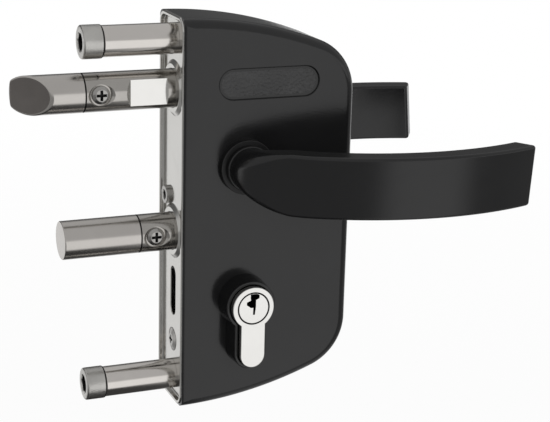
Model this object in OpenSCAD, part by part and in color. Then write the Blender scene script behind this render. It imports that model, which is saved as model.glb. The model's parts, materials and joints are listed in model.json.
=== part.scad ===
// Surface-mounted gate lock with two levers and a profile cylinder.
// X runs from the seat on the gate post into the lock, Y from the front to the back, Z is up.
// The origin is on the seat plane, midway between the two fixing screws.

/* [Case] */
// Width of the case, from the seat plane to its far side
case_w = 71; // [70:1:80]
// Height of the case
case_h = 155; // [153:1:168]
// Depth of the case, front to back
case_d = 30.5; // [30:0.5:34]
// Radius of the rounded edge round both faces
edge_r = 4; // [3.5:0.25:4.5]
// Radius of the long arc along the top and the bottom
top_r = 160; // [150:5:220]
// Radius of the two far corners
corner_r = 22; // [19:1:24]
// Wall thickness of the casting
wall = 2.5; // [2.25:0.25:2.75]

/* [Face recess] */
// Length of the shallow recess in the front face
recess_l = 41; // [30:1:44]
// Height of the recess
recess_h = 12; // [9:0.5:14]
// Depth of the recess
recess_t = 0.8; // [0.4:0.1:1.5]

/* [Forend] */
// How far the tray's floor is sunk below its rim
tray_sink = 1.5; // [1:0.1:2]
// Sheet thickness of the tray's floor
tray_t = 2; // [1.5:0.1:2.5]
// Length of the skirt behind the floor
skirt = 1; // [0.5:0.1:1.5]
// Width of the rim
rim_w = 1.6; // [1.2:0.1:1.8]
// Corner radius of the tray
tray_r = 5; // [3:0.5:6]
// Length of the upright slot in the floor
slot_l = 20; // [12:1:22]
// Width of the slot
slot_w = 6; // [4:0.5:8]
// Thickness of the case's edge round the tray
tray_lip = 1.2; // [1:0.1:1.4]

/* [Bolts] */
// Diameter of the latch bolt and the deadbolt
bolt_d = 15; // [14.5:0.25:16]
// Reach of the latch bolt from the seat plane
latch_out = 60.7; // [55:0.1:75]
// Height of the latch bolt's axis
latch_z = 49; // [48.5:0.5:50]
// Reach of the deadbolt while it is drawn back
deadbolt_out = 43.8; // [42:0.1:60]
// Height of the deadbolt's axis
deadbolt_z = -8; // [-9:0.25:-7.5]
// Throw of the deadbolt
deadbolt_throw = 20; // [17:0.5:20]

/* [Fixings] */
// Diameter of the two spacer sleeves
sleeve_d = 12; // [11:0.25:12.5]
// Reach of the sleeves from the seat plane
sleeve_out = 27.4; // [22:0.1:60]
// Head diameter of the fixing screws
head_d = 12.8; // [12.6:0.1:14]
// Head height of the fixing screws
head_h = 8; // [6:0.5:9]

/* [Levers] */
// Distance of the lever and cylinder axes from the seat plane
backset = 25.5; // [25:0.25:26.25]
// Height of the lever axis
lever_z = 20; // [19:0.5:21]
// Height of the grip
grip_h = 24; // [20:1:26]
// Thickness of the grip
grip_t = 9.5; // [7.5:0.5:10]
// Radius of the grip's bow, along its outer face
bow_r = 110; // [105:5:180]
// Reach of the grip past the lever axis, to the middle of its end
grip_l = 102.5; // [80:0.5:115]
// Stand-off of the grip's outer face from the case
grip_off = 44.3; // [42:0.1:48]
// Height that the grip lies below the lever axis, or above it on the rear lever
grip_drop = 2; // [0:0.25:3]
// Angle that the levers turn through
lever_turn = 44; // [38:1:45]

/* [Cylinder] */
// Length of the cylinder, face to face
cyl_len = 54; // [52:1:64]
// Height of the raised collar round it
collar_h = 9; // [7:0.25:10]
// Width of the raised collar
collar_w = 1.5; // [1.2:0.1:2.5]

/* [Hidden] */
$fn = 64;
// clearances: between still pieces, of a running fit, and a cutter's overshoot
gap = 0.2;
run = 0.05;
over = 1;
// the case
half_d = case_d / 2;
half_h = case_h / 2;
case_x0 = 0.5;
edge_steps = 5;
arc_steps = 8;
big_z = half_h - top_r;
far_x = case_w - corner_r;
far_z = big_z + sqrt(pow(top_r - corner_r, 2) - pow(far_x, 2));
far_a = atan2(far_z - big_z, far_x);
inner_d = half_d - wall;
recess_x = case_w - 36.2;
recess_z = half_h - 25.4;
seat_w = 5;
seat_t = 0.5;
// the tray
tray_w = case_d - 2 * tray_lip;
back_x = tray_sink + tray_t;
tray_depth = back_x + skirt;
// the steel frame behind it
plate_t = 1.5;
plate_in = min(tray_w / 2 - rim_w, inner_d) - gap - plate_t;
plate_out = plate_in + plate_t;
plate_h = half_h - 9.5;
plate_x = case_w - wall - 2.7;
plate_cut = [[26.3, 0], [7.3, 8], [0, 14]];
post_r = 3;
tenon_r = 2;
posts = [[back_x + 5, lever_z + 13], [backset + 20, lever_z + 10], [plate_x - 14.3, 11 - plate_h],
    [back_x + 5, deadbolt_z - 34], [plate_x - 8.3, lever_z - 7]];
detent_post = posts[4];
// the screw and rod that draw the tray and the case together
tie_y = 7.1;
tie_up = 12.9;
tie_z = deadbolt_z + tie_up;
tie_r = 2.4;
tie_thread_r = 1.7;
tie_bore = 14;
boss_r = 3.4;
boss_l = 7;
forend_head_r = 3.6;
forend_head_h = 1.5;
forend_hex_r = 1.73;
// bolts and their bushes
bolt_r = bolt_d / 2;
bush_wall = 1.9;
bush_r = bolt_r + bush_wall;
cone_r = bush_r + 1.6;
cone_h = 1.2;
latch_bush_l = 8;
dead_bush_l = 1.7;
tenon_l = 12;
tip_tenon_r = 4.45;
tip_screw_r = 1.5;
tip_head_r = 3.75;
tip_head_h = 1.6;
tip_head_in = 0.3;
tip_bore_r = 4.1;
screw_back = 6;
bolt_edge = 0.3;
latch_seam = latch_out - 25.6;
dead_seam = deadbolt_out - 30.2;
latch_bevel = 6.1;
flat_x0 = -17.5;
flat_x1 = -3.2;
flat_half = 5;
flat_y = sqrt(pow(bolt_r, 2) - pow(flat_half, 2));
cross_l = 3.8;
cross_w = 0.9;
cross_t = 1;
// the follower and its arm, which reaches up into the latch bar
arm_end_r = 3.5;
arm_half = 3;
arm_thick = 3;
arm_drop = 4.6;
arm_r = latch_z - lever_z - arm_drop;
arm_a = lever_turn / 2;
arm_x = backset - arm_r * sin(arm_a);
latch_travel = 2 * arm_r * sin(arm_a);
arm_slot = arm_end_r + 0.45;
arm_top = 0.5;
hub_r = 10;
journal_r = 8;
journal_y = plate_out - gap;
square = 8;
stud_r = 1.5;
stud_at = 17;
stud_y = plate_in - gap;
// the latch spring and its stop
spring_bore_r = 4.6;
spring_bore_x = backset - 2;
spring_r = 3.6;
wire_r = 0.45;
turns = 12;
turn_rings = 8;
wire_sides = 6;
stop_t = 2.5;
stop_x = plate_x - stop_t - 1.8;
latch_room = 1.5;
latch_end = stop_x - latch_travel - latch_room;
stop_half = 5.5;
stop_tenon = 3;
guide_pin_r = 2.2;
guide_pin_x = spring_bore_x + latch_travel + latch_room;
spring_gap = 0.3;
// the return spring, wound round the follower's hub, with a straight leg at each end
coil_r = 12.3;
coil_wire_r = 0.75;
coil_y = arm_thick + gap + coil_wire_r;
coil_rings = 10;
coil_a0 = -16.8;
coil_turns = 3;
leg_touch = 0.15;
coil_a1 = 90 + arm_a + acos((coil_r + coil_wire_r + stud_r + leg_touch) / stud_at);
coil_sweep = 360 * (coil_turns + 1) - (coil_a1 - coil_a0);
coil_y1 = plate_in - gap - coil_wire_r;
leg_0 = 19;
leg_1 = 12;
// the deadbolt's tail: a plate with a notch for the cam and a slot for its guide post
cyl_drop = 26;
cyl_z = deadbolt_z - cyl_drop;
tail_half = 2.5;
tail_x1 = plate_x;
guide_x = tail_x1 - deadbolt_throw - 5.8;
dead_end = guide_x - 5.5;
tail_x0 = dead_end - 12.8;
tail_up = 7;
tail_down = 7;
notch_half = 5.2;
notch_x = backset + deadbolt_throw / 2;
talon_t = 4.5;
talon_z = cyl_z + 9;
rivet_r = 1.5;
rivets = [dead_end - 9.5, dead_end - 3.8];
leaf_t = 0.8;
leaf_half = 2.2;
leaf_x = tail_x1 - deadbolt_throw - 4.3;
leaf_dip = 0.9;
leaf_nose = 0.5;
leaf_in = [4, 3];
leaf_out = [-3.5, 2.6];
leaf_root = 2.4;
detent_w = 2.2;
// the cylinder, to the common European profile
cyl_r = 8.5;
lobe_r = 5;
lobe_z = 19.5;
plug_r = 6.6;
cam_r = 15;
cam_tip_r = 3.7;
cam_ring_r = 8.4;
cam_half = 5;
cam_a = 55;
cam_gap = 6.3;
web_z = cam_r + 0.6;
plug_neck_r = 4.5;
neck_end = 0.6;
clip_in_r = 5.75;
clip_out_r = 7.9;
clip_t = 0.7;
groove_t = 0.8;
groove_r = 5.7;
cyl_screw_r = 2.45;
cyl_head_r = 4.7;
cyl_head_up = 0.8;
pin_r = 1.4;
pin_count = 5;
pin_step = 3.4;
pin_first = 3.6;
chamber_r = 1.5;
chamber_l = 17.6;
key_pin_top = 2.4;
driver_l = 4.6;
pin_wire_r = 0.2;
pin_coil_r = 1.1;
pin_turns = 5;
pin_rings = 6;
keyway = [[-1.3, 5.9], [1.5, 5.9], [2.3, 5.2], [2.3, 4], [0.9, 3.4], [0.9, 0.6], [0.5, -2.6],
    [-0.3, -2.6], [-0.2, 0.3], [-1.2, 0.3], [-2.9, 1.6], [-2.9, 2.7], [-1.2, 3.4], [-1.4, 4.4]];
// fixings
fix_in = 9.4;
fix_z = half_h - fix_in;
sleeve_r = sleeve_d / 2;
screw_r = 4;
screw_l = 12;
head_edge = 0.6;
hex_r = 3.46;
hex_t = 4.5;
nut_l = 12;
nut_w = 8;
nut_up = 4.2;
nut_down = 6.5;
// levers
lever_bush_r = 10;
bush_flange_r = 11;
bush_flange_t = 2.5;
neck_r = 9;
neck_y = half_d + bush_flange_t + gap;
neck_l = 2.5;
neck_top_r = 8.3;
bow_reach = 68.5;
bow_x = backset + bow_reach;
bow_y = bow_r - half_d - grip_off;
bow_mid = bow_r - grip_t / 2;
grip_edge = 1.3;
end_skew = 13;
end_lean = 4.5;
end_x = backset + grip_l;
elbow_l = 18;
elbow_steps = 10;
bow_steps = 9;
corner_steps = 6;
round_steps = 3;
flare_end = 0.62;
thin_end = 0.8;
flat_min = 0.2;
set_r = 2.4;
set_y = neck_y + 6.5;
socket_y = half_d + 12.5;

// points along an arc
function arc(c, r, a0, a1, n) =
    [for (i = [0:n]) let (a = a0 + (a1 - a0) * i / n) [c[0] + r * cos(a), c[1] + r * sin(a)]];

// the case's outline, drawn in by k, with its seat edge at x0
function case_half(k, s, x0) = let (
        a0 = acos(x0 / (top_r - k)),
        big = arc([0, big_z], top_r - k, a0, far_a, arc_steps),
        small = arc([far_x, far_z], corner_r - k, far_a, 0, arc_steps))
    [for (p = concat(big, [for (i = [1:arc_steps]) small[i]])) [p[0], s * p[1]]];
function case_outline(k, x0) = let (b = case_half(k, -1, x0), n = len(b))
    concat(case_half(k, 1, x0), [for (i = [1:n]) b[n - i]]);
// how far the seat edge is eased at the angle a of the rounded edge
function seat_in(a) = let (t = max(0, 1 - edge_r * (1 - sin(a)) / seat_t)) seat_w * (1 - sqrt(1 - t * t));

// a round tube swept along points, with rings square to the path and turned about the axis k
function unit(v) = v / norm(v);
function tangent(p, i) = unit(p[min(i + 1, len(p) - 1)] - p[max(i - 1, 0)]);
function ring(c, t, k, r, n) = let (e = unit(cross(t, k)), f = cross(e, t))
    [for (i = [0:n - 1]) c + r * (cos(360 * i / n) * f + sin(360 * i / n) * e)];
// a closed skin over rings that all have the same number of points
module loft(rings) {
    m = len(rings);
    n = len(rings[0]);
    polyhedron(points = [for (r = rings) each r], faces = concat(
        [[for (j = [0:n - 1]) j]],
        [for (i = [0:m - 2]) for (j = [0:n - 1]) let (a = i * n + j, b = i * n + (j + 1) % n)
            each [[a, a + n, b + n], [a, b + n, b]]],
        [[for (j = [0:n - 1]) m * n - 1 - j]]));
}
module tube(p, k, r, n) loft([for (i = [0:len(p) - 1]) ring(p[i], tangent(p, i), k, r, n)]);
// the least room between turns of a wound wire, measured between points at least half a turn apart
function least_gap(p, r, skip) =
    min([for (i = [0:len(p) - 1 - skip]) for (j = [i + skip:len(p) - 1]) norm(p[i] - p[j])]) - 2 * r;

// a band of even thickness along a line
function side(p, i) = let (t = tangent(p, i)) [-t[1], t[0]];
function band(p, t) = concat([for (i = [0:len(p) - 1]) p[i] + side(p, i) * t / 2],
    [for (i = [len(p) - 1:-1:0]) p[i] - side(p, i) * t / 2]);

// round bars along each axis, one with chamfered ends, and flat shapes pushed along an axis
module rod_x(x0, x1, r) translate([x0, 0, 0]) rotate([0, 90, 0]) cylinder(h = x1 - x0, r = r);
module bar_x(x0, x1, r, c) rotate([0, 90, 0]) rotate_extrude() polygon([[0, x0], [r - c, x0],
    [r, x0 + c], [r, x1 - c], [r - c, x1], [0, x1]]);
module rod_y(y0, y1, r) translate([0, y1, 0]) rotate([90, 0, 0]) cylinder(h = y1 - y0, r = r);
module rod_z(z0, z1, r) translate([0, 0, z0]) cylinder(h = z1 - z0, r = r);
module slab_y(y0, y1) translate([0, y1, 0]) rotate([90, 0, 0]) linear_extrude(y1 - y0) children();
module slab_x(x0, x1) translate([x0, 0, 0]) rotate([90, 0, 90]) linear_extrude(x1 - x0) children();
module block(x, y, z) translate([x[0], y[0], z[0]]) cube([x[1] - x[0], y[1] - y[0], z[1] - z[0]]);
module both_ends() for (s = [-1, 1]) translate([0, 0, s * fix_z]) children();

// a rectangle with round corners, and a slot with round ends
module soft_rect(w, h, r) {
    square([w - 2 * r, h], center = true);
    square([w, h - 2 * r], center = true);
    for (x = [-1, 1], y = [-1, 1]) translate([x * (w / 2 - r), y * (h / 2 - r)]) circle(r = r);
}
module obround(l, w) {
    square([l - w, w], center = true);
    for (s = [-1, 1]) translate([s * (l - w) / 2, 0]) circle(d = w);
}
// the cylinder's profile, grown by g
module euro(g) translate([backset, cyl_z]) {
    circle(r = cyl_r + g);
    translate([-lobe_r - g, -lobe_z]) square([2 * (lobe_r + g), lobe_z]);
    translate([0, -lobe_z]) circle(r = lobe_r + g);
}
// a cross recess, pushed along -Y from the head's face
module cross_cut(y) for (a = [0, 90]) translate([0, y, 0]) rotate([0, a, 0])
    block([-cross_l / 2, cross_l / 2], [-over, cross_t], [-cross_w / 2, cross_w / 2]);

// the casting's outer form: outlines stacked from face to face, drawn in along both rounded edges
edge_a = [for (i = [edge_steps:-1:0]) 90 * i / edge_steps];
case_rings = concat([for (a = edge_a) [a, -1]], [for (i = [edge_steps:-1:0]) [edge_a[i], 1]]);
module case_solid() loft([for (e = case_rings)
    let (y = e[1] * (half_d - edge_r + edge_r * sin(e[0])))
    [for (p = case_outline(edge_r * (1 - cos(e[0])), case_x0 + seat_in(e[0]))) [p[0], y, p[1]]]]);

// one-piece casting, open towards the seat, with a raised collar for the cylinder on both faces
module case_shell() color("#1d1e1e") difference() {
    union() {
        difference() {
            union() {
                case_solid();
                slab_y(-half_d - collar_h, half_d + collar_h) euro(collar_w);
            }
            slab_x(-over, tray_depth + gap)
                soft_rect(tray_w + 2 * gap, case_h + 2 * gap, tray_r + gap);
            slab_y(-inner_d, inner_d) polygon(case_outline(wall, case_x0 + wall));
        }
        translate([0, tie_y, tie_z]) rod_x(case_w - wall - boss_l, case_w - wall / 2, boss_r);
    }
    slab_y(-half_d - collar_h - over, half_d + collar_h + over) euro(gap);
    translate([backset, 0, lever_z]) rod_y(-half_d - over, half_d + over, lever_bush_r + run);
    translate([recess_x, 0, recess_z]) slab_y(-half_d - over, recess_t - half_d)
        obround(recess_l, recess_h);
    translate([0, tie_y, tie_z]) rod_x(case_w - wall - boss_l - over, case_w - wall, tie_r + run);
}

// pressed stainless tray that closes the case and seats on the gate post
module forend_tray() color("#c9c8c4") difference() {
    slab_x(0, tray_depth) soft_rect(tray_w, case_h, tray_r);
    slab_x(-over, tray_sink) soft_rect(tray_w - 2 * rim_w, case_h - 2 * rim_w, tray_r - rim_w);
    slab_x(back_x, tray_depth + over)
        soft_rect(tray_w - 2 * rim_w, case_h - 2 * rim_w, tray_r - rim_w);
    for (z = [latch_z, deadbolt_z]) translate([0, 0, z]) rod_x(-over, back_x + over, bush_r + gap / 2);
    both_ends() rod_x(-over, back_x + over, screw_r + gap);
    translate([0, tie_y, tie_z]) rod_x(-over, back_x + over, tie_thread_r + gap);
    translate([tray_sink - run, 0, cyl_z - lobe_z]) rotate([0, 90, 0])
        cylinder(h = tray_t + 2 * run, r1 = cyl_head_r + gap / 2, r2 = cyl_screw_r + gap);
    translate([0, 0, cyl_z + over]) slab_x(-over, back_x + over) rotate(90) obround(slot_l, slot_w);
}

// steel plate of the frame that carries the mechanism
module side_plate(y) difference() {
    slab_y(y, y + plate_t) difference() {
        polygon(concat([[back_x, -plate_h], [back_x, plate_h]],
            [for (c = plate_cut) [plate_x - c[0], plate_h - c[1]]],
            [for (i = [1:len(plate_cut)]) let (c = plate_cut[len(plate_cut) - i])
                [plate_x - c[0], c[1] - plate_h]]));
        euro(gap);
        translate([backset, lever_z]) circle(r = journal_r + run);
        for (p = posts) translate(p) circle(r = tenon_r + run);
        translate([guide_x, deadbolt_z]) circle(r = tenon_r + run);
    }
    block([stop_x - run, stop_x + stop_t + run], [y - over, y + plate_t + over],
        [latch_z - stop_tenon - run, latch_z + stop_tenon + run]);
}
module front_side_plate() color("#9a9ea2") side_plate(-plate_out);
module rear_side_plate() color("#9a9ea2") side_plate(plate_in);

// shouldered pillars, riveted into both plates
module pillar() {
    rod_y(-plate_in, plate_in, post_r);
    rod_y(-plate_out, plate_out, tenon_r);
}
module spacer_posts() color("#8d9195") for (p = posts) translate([p[0], 0, p[1]]) pillar();
module tail_guide_post() color("#8d9195") translate([guide_x, 0, deadbolt_z]) pillar();

// rod fixed in the case's boss, which the forend screw draws on
module tie_rod() color("#8d9195") translate([0, tie_y, tie_z]) difference() {
    rod_x(back_x, case_w - wall - gap, tie_r);
    rod_x(back_x - over, back_x + tie_bore, tie_thread_r + run);
}
module forend_screw() color("#b9b8b3") translate([0, tie_y, tie_z]) difference() {
    union() {
        rod_x(tray_sink - forend_head_h, tray_sink, forend_head_r);
        rod_x(tray_sink - over / 2, back_x + tie_bore - over, tie_thread_r);
    }
    translate([tray_sink - forend_head_h - over, 0, 0]) rotate([0, 90, 0])
        cylinder(h = over + forend_head_h * 2 / 3, r = forend_hex_r, $fn = 6);
}

// turned bush with a conical collar in front of the tray's floor
module bush(l) rotate([0, 90, 0]) rotate_extrude() polygon([[bolt_r + run, tray_sink - cone_h],
    [bush_r, tray_sink - cone_h], [cone_r, tray_sink], [bush_r, tray_sink],
    [bush_r, back_x + l], [bolt_r + run, back_x + l]]);
module latch_guide_bush() color("#c9c8c4") translate([0, 0, latch_z]) bush(latch_bush_l);
module deadbolt_guide_bush() color("#c9c8c4") translate([0, 0, deadbolt_z]) bush(dead_bush_l);

// the fixings that go through the gate post: a screw in the end of a threaded sleeve,
// which seats on the tray's floor and holds in the nut behind it
module fixing_screws() color("#b7b2a8") both_ends() difference() {
    union() {
        bar_x(-sleeve_out - head_h, -sleeve_out, head_d / 2, head_edge);
        rod_x(-sleeve_out - over / 2, screw_l - over - sleeve_out, screw_r);
    }
    translate([-sleeve_out - head_h - over, 0, 0]) rotate([0, 90, 0])
        cylinder(h = over + hex_t, r = hex_r, $fn = 6);
}
module fixing_sleeves() color("#a8a49c") both_ends() difference() {
    union() {
        rod_x(-sleeve_out, tray_sink, sleeve_r);
        rod_x(tray_sink - over / 2, back_x + nut_l, screw_r);
    }
    rod_x(-sleeve_out - over, screw_l - sleeve_out, screw_r + run);
}
module fixing_nuts() color("#8d9195") for (s = [-1, 1]) difference() {
    block([back_x, back_x + nut_l], [-nut_w, nut_w],
        s > 0 ? [fix_z - nut_down, fix_z + nut_up] : [-fix_z - nut_up, -fix_z + nut_down]);
    translate([0, 0, s * fix_z]) rod_x(back_x - over, back_x + nut_l + over, screw_r + run);
}

// screw that holds a bolt's tip: its pan head lies in a counterbore
module tip_screw(x) translate([x, 0, 0]) difference() {
    union() {
        rod_y(tip_head_in - bolt_r, tip_head_in + tip_head_h - bolt_r, tip_head_r);
        rod_y(tip_head_in - bolt_r, 0, tip_screw_r);
    }
    cross_cut(tip_head_in - bolt_r);
}
module tip_screw_hole(x) translate([x, 0, 0]) {
    rod_y(-bolt_r - over, tip_head_in + tip_head_h - bolt_r, tip_bore_r);
    rod_y(-bolt_r - over, over / 2, tip_screw_r + run);
}

module latch_bar() color("#b7b2a8") translate([0, 0, latch_z]) difference() {
    bar_x(-latch_seam, latch_end, bolt_r, bolt_edge);
    rod_x(-latch_seam - over, gap + tenon_l - latch_seam, tip_tenon_r + run);
    tip_screw_hole(screw_back - latch_seam);
    block([flat_x0, flat_x1], [-bolt_r - over, -flat_y], [-bolt_r - over, bolt_r + over]);
    block([arm_x - arm_slot, arm_x + arm_slot], [-arm_thick - gap, arm_thick + gap],
        [-bolt_r - over, arm_top]);
    rod_x(spring_bore_x, latch_end + over, spring_bore_r);
}
// the tip turns round in the bar, so that the bevel can face either way
module latch_tip() color("#8f8b86") translate([0, 0, latch_z]) difference() {
    union() {
        bar_x(-latch_out, -latch_seam, bolt_r, bolt_edge);
        rod_x(-latch_seam - over, tenon_l - latch_seam, tip_tenon_r);
    }
    translate([screw_back - latch_seam, 0, 0]) rod_y(-bolt_r, over / 2, tip_screw_r + run);
    translate([0, 0, -bolt_r - over]) linear_extrude(2 * (bolt_r + over)) polygon([
        [-latch_out - over, latch_bevel + over], [bolt_r + over + latch_bevel - latch_out, -bolt_r - over],
        [-latch_out - over, -bolt_r - over]]);
}
module latch_tip_screw() color("#8f8b86") translate([0, 0, latch_z])
    tip_screw(screw_back - latch_seam);

latch_coil = [for (i = [0:turns * turn_rings]) let (a = 360 * i / turn_rings, t = i / (turns * turn_rings))
    [spring_bore_x + spring_gap + wire_r
        + t * (stop_x - spring_bore_x - 2 * (spring_gap + wire_r)),
        spring_r * sin(a), latch_z + spring_r * cos(a)]];
echo(latch_spring_gap = least_gap(latch_coil, wire_r, turn_rings / 2 + 1));
module latch_spring() color("#c4c4c0") tube(latch_coil, [1, 0, 0], wire_r, wire_sides);

// plate between the side plates that the latch spring pushes on, and the pin that keeps it straight
module spring_stop_plate() color("#8d9195") difference() {
    union() {
        block([stop_x, stop_x + stop_t], [-plate_in, plate_in], [latch_z - stop_half, latch_z + stop_half]);
        block([stop_x, stop_x + stop_t], [-plate_out, plate_out],
            [latch_z - stop_tenon, latch_z + stop_tenon]);
    }
    translate([0, 0, latch_z]) rod_x(stop_x - over, stop_x + stop_t + over, guide_pin_r + run);
}
module spring_guide_pin() color("#8d9195") translate([0, 0, latch_z])
    rod_x(guide_pin_x, stop_x + stop_t, guide_pin_r);

module deadbolt_bar() color("#a09b94") translate([0, 0, deadbolt_z]) difference() {
    bar_x(-dead_seam, dead_end, bolt_r, bolt_edge);
    rod_x(-dead_seam - over, gap + tenon_l - dead_seam, tip_tenon_r + run);
    tip_screw_hole(screw_back - dead_seam);
    block([tail_x0 - gap, dead_end + over], [-tail_half - run, tail_half + run],
        [-bolt_r - over, bolt_r + over]);
    for (x = rivets) translate([x, 0, 0]) rod_y(-bolt_r - over, bolt_r + over, rivet_r + run);
}
module deadbolt_tip() color("#b7b2a8") translate([0, 0, deadbolt_z]) difference() {
    union() {
        bar_x(-deadbolt_out, -dead_seam, bolt_r, bolt_edge);
        rod_x(-dead_seam - over, tenon_l - dead_seam, tip_tenon_r);
    }
    translate([screw_back - dead_seam, 0, 0]) rod_y(-bolt_r, over / 2, tip_screw_r + run);
}
module deadbolt_tip_screw() color("#8f8b86") translate([0, 0, deadbolt_z])
    tip_screw(screw_back - dead_seam);

// tail plate: the cam works between its two talons
module deadbolt_tail() color("#9a9ea2") difference() {
    slab_y(-tail_half, tail_half) difference() {
        union() {
            translate([tail_x0, deadbolt_z - tail_down])
                square([tail_x1 - tail_x0, tail_up + tail_down]);
            for (x = [notch_x - notch_half - talon_t, notch_x + notch_half])
                translate([x, talon_z]) square([talon_t, deadbolt_z - talon_z]);
        }
        translate([guide_x + deadbolt_throw / 2, deadbolt_z])
            obround(deadbolt_throw + 2 * (post_r + gap), 2 * (post_r + run));
        for (x = [0, deadbolt_throw]) translate([leaf_x + x, deadbolt_z + tail_up])
            polygon([[-detent_w, over], [-detent_w, 0], [0, -detent_w], [detent_w, 0], [detent_w, over]]);
    }
    for (x = rivets) translate([x, 0, deadbolt_z])
        rod_y(-tail_half - over, tail_half + over, rivet_r + run);
}
module tail_rivets() color("#8d9195") for (x = rivets) translate([x, 0, deadbolt_z])
    rod_y(over - bolt_r, bolt_r - over, rivet_r);

// leaf that clicks into the tail's notches and holds the deadbolt out or in
module detent_spring() color("#c4c4c0") slab_y(-leaf_half, leaf_half) difference() {
    union() {
        translate(detent_post) circle(r = post_r + gap + leaf_t);
        translate([leaf_x, deadbolt_z + tail_up])
            polygon(band([detent_post - [leaf_x + leaf_root, deadbolt_z + tail_up + leaf_root], leaf_in,
                [leaf_nose, -leaf_dip], [-leaf_nose, -leaf_dip], leaf_out], leaf_t));
    }
    translate(detent_post) circle(r = post_r + gap);
}

// follower: turns in the side plates, its arm draws the latch bar back
module follower() color("#9a9ea2") translate([backset, 0, lever_z]) difference() {
    union() {
        rod_y(-plate_in + gap, plate_in - gap, hub_r);
        rod_y(-journal_y, journal_y, journal_r);
        slab_y(-arm_thick, arm_thick) rotate(arm_a) {
            translate([-arm_half, 0]) square([2 * arm_half, arm_r]);
            translate([0, arm_r]) circle(r = arm_end_r);
        }
        rotate([0, -arm_a, 0]) translate([0, 0, stud_at]) rod_y(-stud_y, 0, stud_r);
    }
    block([-square / 2 - run, square / 2 + run], [-half_d, half_d], [-square / 2 - run, square / 2 + run]);
}
module spindle() color("#8d9195") translate([backset, 0, lever_z])
    block([-square / 2, square / 2], [-socket_y, socket_y], [-square / 2, square / 2]);

coil_n = ceil(coil_sweep / 360 * coil_rings);
function coil_at(a, y) = [backset + coil_r * cos(a), -y, lever_z + coil_r * sin(a)];
coil_a2 = coil_a0 - coil_sweep;
return_coil = concat([coil_at(coil_a0, coil_y) + leg_0 * [-sin(coil_a0), 0, cos(coil_a0)]],
    [for (i = [0:coil_n]) coil_at(coil_a0 - coil_sweep * i / coil_n, coil_y + (coil_y1 - coil_y) * i / coil_n)],
    [coil_at(coil_a2, coil_y1) + leg_1 * [sin(coil_a2), 0, -cos(coil_a2)]]);
echo(return_spring_gap = least_gap(return_coil, coil_wire_r, coil_rings / 2 + 1));
module return_spring() color("#c4c4c0") tube(return_coil, [0, 1, 0], coil_wire_r, wire_sides);

// bowed lever: a journal in its bush, a round neck that flares round an elbow, and a flat bowed grip
function bow_at(x) = [x, bow_y - sqrt(pow(bow_mid, 2) - pow(x - bow_x, 2))];
function bow_heading(x) = let (a = asin((x - bow_x) / bow_mid)) [cos(a), sin(a)];
elbow_x = backset + elbow_l;
elbow_end = bow_at(elbow_x);
elbow_turn = bow_heading(elbow_x);
elbow_in = [backset, -neck_y - neck_l - over / 2];
elbow_knee = [backset, elbow_end[1] - elbow_l * elbow_turn[1] / elbow_turn[0]];
function elbow_at(t) = pow(1 - t, 2) * elbow_in + 2 * t * (1 - t) * elbow_knee + t * t * elbow_end;
function elbow_heading(t) = unit((1 - t) * (elbow_knee - elbow_in) + t * (elbow_end - elbow_knee));
function ease(t) = let (k = min(max(t, 0), 1)) k * k * (3 - 2 * k);
// a rectangle with round corners as a ring of points, half sizes a and b
function soft_ring(a, b, r) = [for (q = [3:-1:0]) for (i = [corner_steps:-1:0]) let (
        t = 90 * (q + i / corner_steps), x = q == 0 || q == 3 ? a - r : r - a, z = q < 2 ? b - r : r - b)
    [x + r * cos(t), z + r * sin(t)]];
// the ring stands square to the heading, d below the axis, or is cut askew by the share k at the grip's end
function grip_ring(c, h, a, b, r, d, k) = [for (p = soft_ring(a, b, r))
    let (s = k * (p[0] * tan(end_skew) + p[1] * tan(end_lean)))
    [c[0] + p[0] * h[1] + s * h[0], c[1] - p[0] * h[0] + s * h[1], lever_z - d + p[1]]];
function neck_ring(c, h, t) = let (a = neck_top_r + (grip_t / 2 - neck_top_r) * ease(t / thin_end),
        b = neck_top_r + (grip_h / 2 - neck_top_r) * min(t / flare_end, 1),
        r = neck_top_r + (grip_edge - neck_top_r) * ease(t / flare_end))
    grip_ring(c, h, a, b, min(r, min(a, b) - flat_min), grip_drop * ease(t), 0);
lever_rings = concat(
    [neck_ring([backset, -neck_y - neck_l / 2], [0, -1], 0)],
    [for (i = [0:elbow_steps]) let (t = i / elbow_steps) neck_ring(elbow_at(t), elbow_heading(t), t)],
    [for (i = [1:bow_steps]) let (x = elbow_x + (end_x - grip_edge - elbow_x) * i / bow_steps)
        grip_ring(bow_at(x), bow_heading(x), grip_t / 2, grip_h / 2, grip_edge, grip_drop,
            i == bow_steps ? 1 : 0)],
    [for (i = [1:round_steps]) let (a = 90 * i / round_steps, e = grip_edge * (1 - cos(a)) * (1 - flat_min),
            x = end_x - grip_edge + grip_edge * sin(a))
        grip_ring(bow_at(x), bow_heading(x), grip_t / 2 - e, grip_h / 2 - e, grip_edge - e, grip_drop, 1)]);
module lever() difference() {
    union() {
        loft(lever_rings);
        translate([backset, 0, lever_z]) {
            rod_y(-neck_y - over / 2, -journal_y - 2 * gap, journal_r);
            rod_y(-neck_y - neck_l, -neck_y, neck_r);
        }
    }
    translate([backset, 0, lever_z]) {
        block([-square / 2 - run, square / 2 + run], [-socket_y - run, 0],
            [-square / 2 - run, square / 2 + run]);
        translate([0, -set_y, 0]) rod_z(-grip_h, 0, set_r + run);
    }
}
module front_lever() color("#1f2020") lever();
// both levers are the same casting, and the rear one is turned over
module turned_over() translate([0, 0, 2 * lever_z]) rotate([180, 0, 0]) children();
module rear_lever() color("#1f2020") turned_over() lever();
module set_screw() translate([backset, -set_y, lever_z]) rod_z(over / 2 - neck_r, -square / 2, set_r);
module lever_set_screws() color("#55585a") {
    set_screw();
    turned_over() set_screw();
}

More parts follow.
